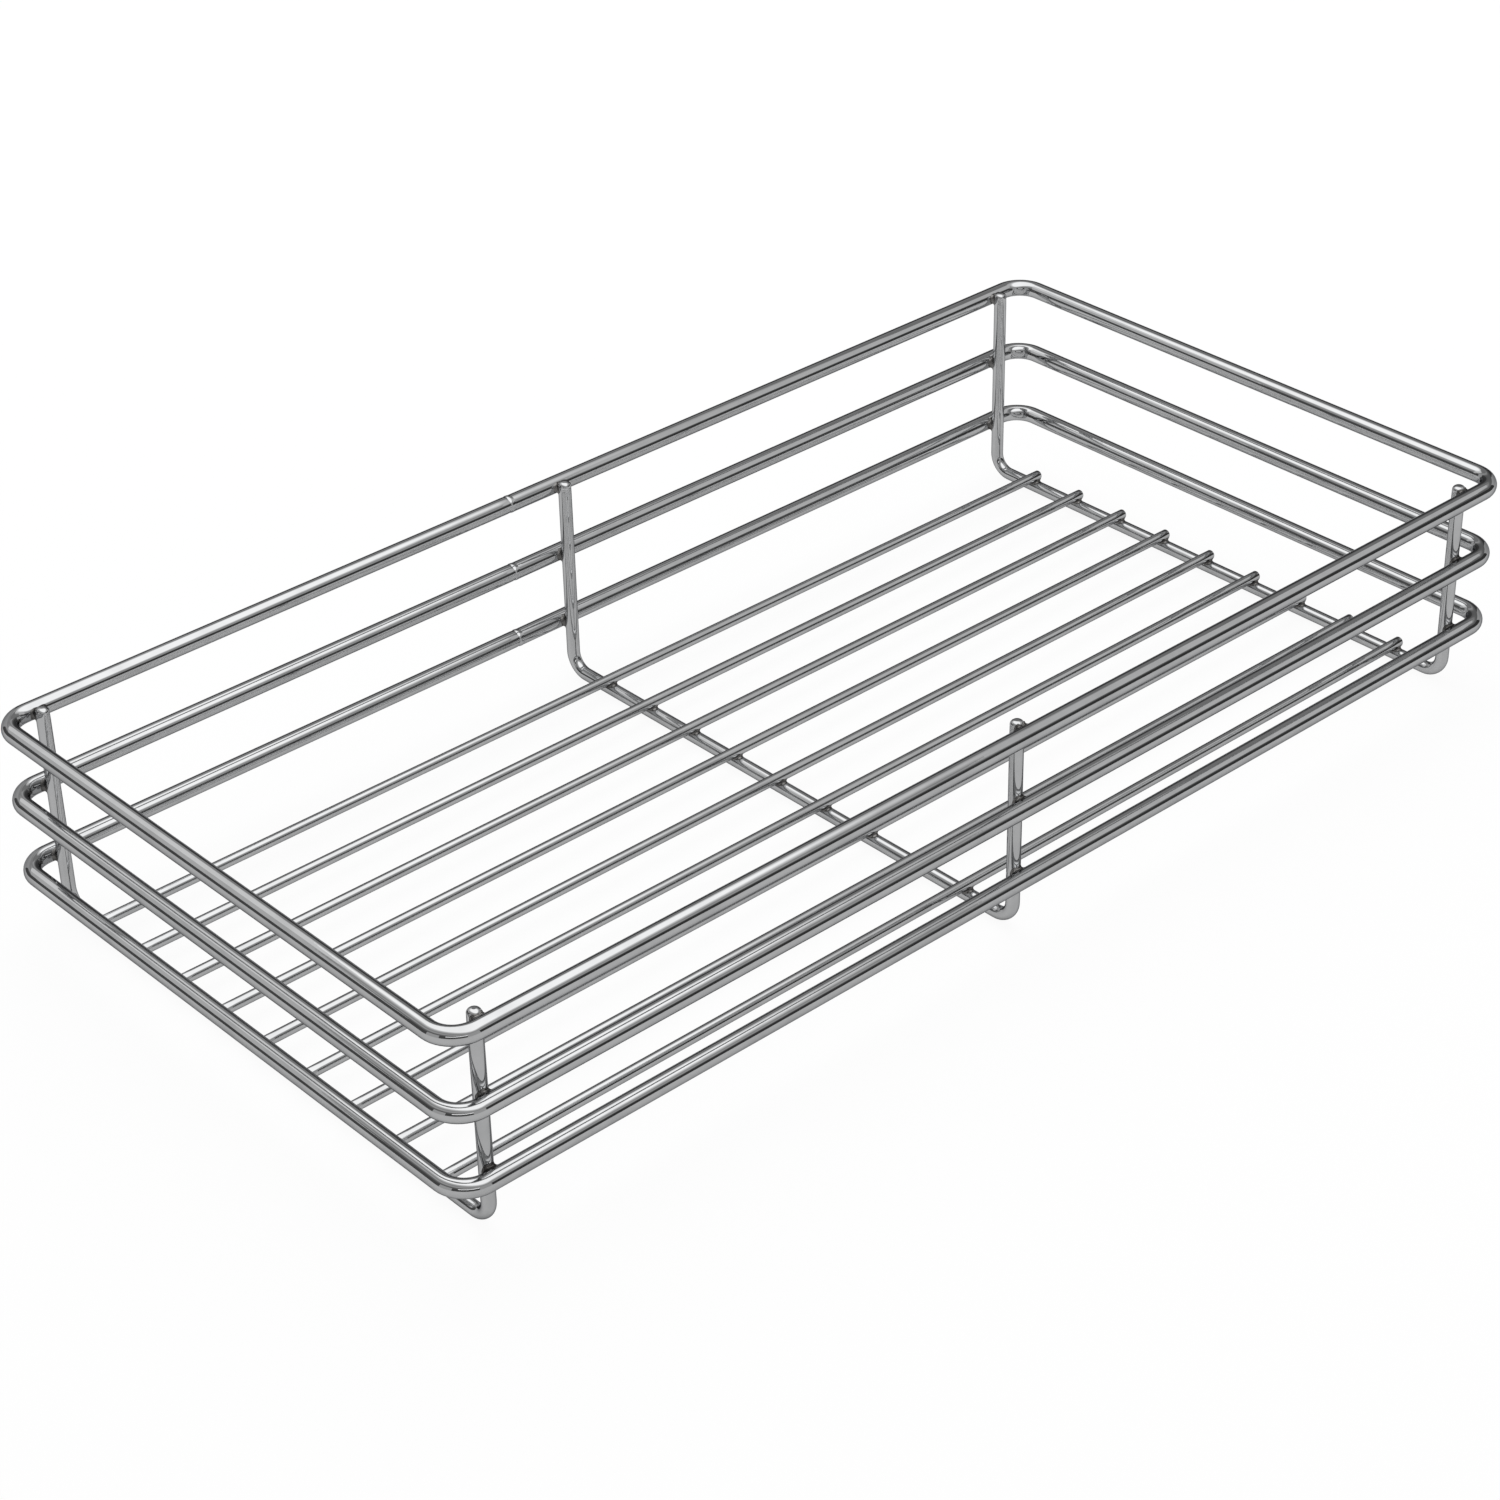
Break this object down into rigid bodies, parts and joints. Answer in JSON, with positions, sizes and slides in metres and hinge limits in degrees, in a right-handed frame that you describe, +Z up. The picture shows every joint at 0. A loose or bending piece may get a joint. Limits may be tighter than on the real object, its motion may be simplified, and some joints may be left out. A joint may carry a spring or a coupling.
{
  "type": "wire pull-out basket",
  "caption": "Shallow rectangular wire basket for a side-mounted cabinet pull-out: closed rings for walls, U-shaped ribs and a floor of thin parallel wires, all chromed.",
  "frame": {"origin": "middle of the footprint, on the plane that the ribs stand on", "axes": "+Z up; +X along the basket, towards its right end; +Y across it, towards the side with the rings' butt welds, which lie just left of the middle rib"},
  "size_m": [0.467, 0.2352, 0.0783],
  "materials": {
    "ring_wire": "polished chrome plate over thick steel wire",
    "rib_wire": "polished chrome plate over steel wire",
    "floor_wire": "polished chrome plate over thin steel wire"
  },
  "bodies": {
    "root": {"top_ring": "ring_wire", "middle_ring": "ring_wire", "lower_ring": "ring_wire", "left_rib": "rib_wire", "middle_rib": "rib_wire", "right_rib": "rib_wire", "floor_wire_1": "floor_wire", "floor_wire_2": "floor_wire", "floor_wire_3": "floor_wire", "floor_wire_4": "floor_wire", "floor_wire_5": "floor_wire", "floor_wire_6": "floor_wire", "floor_wire_7": "floor_wire", "floor_wire_8": "floor_wire", "floor_wire_9": "floor_wire"}
  },
  "joints": []
}
